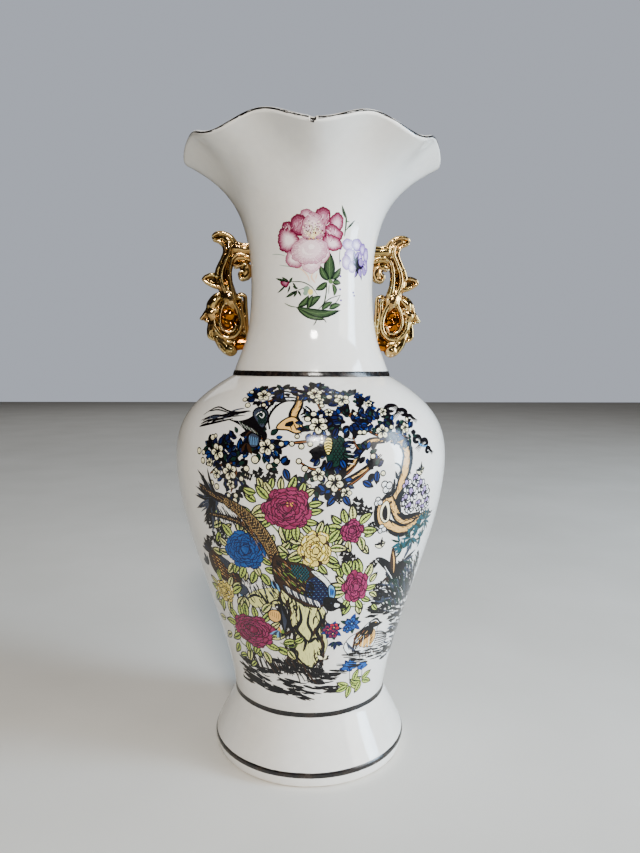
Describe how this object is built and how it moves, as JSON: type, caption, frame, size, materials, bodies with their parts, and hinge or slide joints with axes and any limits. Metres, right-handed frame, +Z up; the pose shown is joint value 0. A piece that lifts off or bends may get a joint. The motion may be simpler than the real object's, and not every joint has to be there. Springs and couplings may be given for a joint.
{
  "type": "flower vase",
  "caption": "Glazed porcelain baluster vase with a ruffled mouth, gilded scroll handles and printed flowers and birds.",
  "frame": {"origin": "on the table, at the centre of the foot", "axes": "+Z up along the axis of the vase; the printed front faces -Y; the handles lie along X"},
  "size_m": [0.136, 0.1363, 0.3018],
  "materials": {
    "glaze": "clear glossy glaze on cream-white porcelain",
    "gold_lustre": "fired bright gold lustre over glaze",
    "black_enamel": "glossy black enamel, brushed on by hand",
    "print_enamel": "glossy fired transfer print in enamel colours"
  },
  "bodies": {
    "root": {"foot": "glaze", "body": "glaze", "neck": "glaze", "handle_left": "gold_lustre", "handle_right": "gold_lustre", "shoulder_band": "black_enamel", "waist_band": "black_enamel", "foot_band": "black_enamel", "rim_line": "black_enamel", "neck_transfer": "print_enamel", "body_transfer": "print_enamel"}
  },
  "joints": []
}
